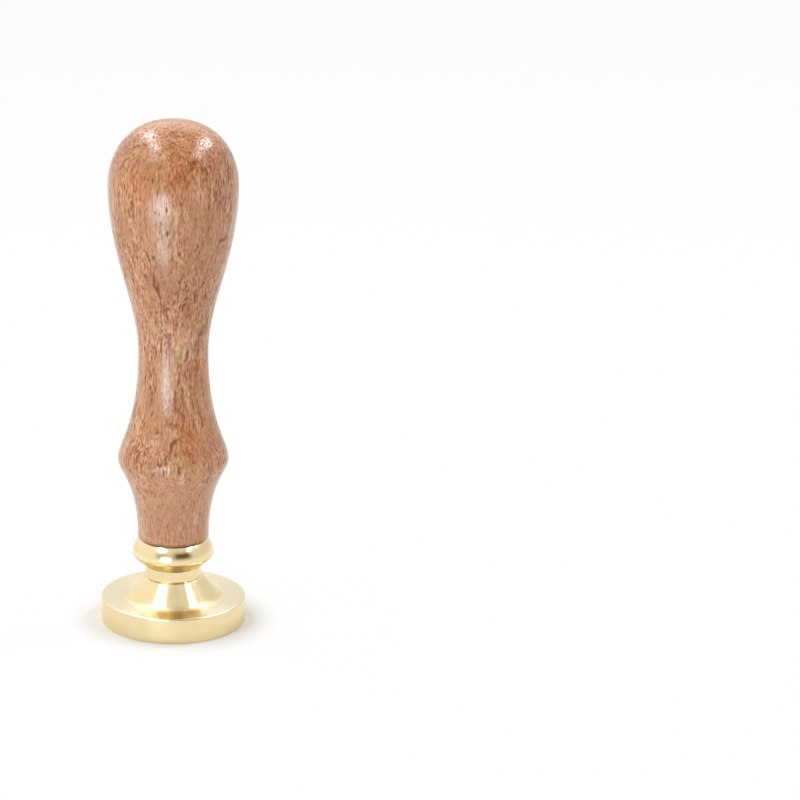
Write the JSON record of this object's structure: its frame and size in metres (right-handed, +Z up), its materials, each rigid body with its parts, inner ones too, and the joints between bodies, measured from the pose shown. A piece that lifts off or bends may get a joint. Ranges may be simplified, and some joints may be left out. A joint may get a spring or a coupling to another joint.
{
  "type": "wax seal stamp",
  "caption": "Hand stamp for sealing wax: a turned wooden handle screwed on to a turned brass head, whose round flat face is engraved.",
  "frame": {"origin": "middle of the die face that the stamp stands on", "axes": "+Z up along the turning axis from the die face to the knob; -Y is the side that the picture shows"},
  "size_m": [0.025, 0.025, 0.0871],
  "materials": {
    "lacquered_wood": "reddish brown hardwood with fine pores under satin lacquer",
    "polished_brass": "turned and polished",
    "zinc_plated_steel": "bright zinc plate",
    "cured_adhesive": "clear amber epoxy"
  },
  "bodies": {
    "seal_head": {"seal_head": "polished_brass"},
    "glue_sleeve": {"glue_sleeve": "cured_adhesive"},
    "handle": {"handle": "lacquered_wood", "stud": "zinc_plated_steel"}
  },
  "joints": [
    {"name": "handle_rise", "type": "slide", "parent": "seal_head", "child": "glue_sleeve", "axis": [0, 0, 1], "range_m": [0, 0.0085]},
    {"name": "handle_turn", "type": "hinge", "parent": "glue_sleeve", "child": "handle", "pos_m": [0, 0, 0.0149], "axis": [0, 0, 1], "range_deg": [0, 3060]}
  ],
  "couplings": [
    {"joint": "handle_rise", "follows": "handle_turn", "m_per_rad": 0.00015915}
  ]
}
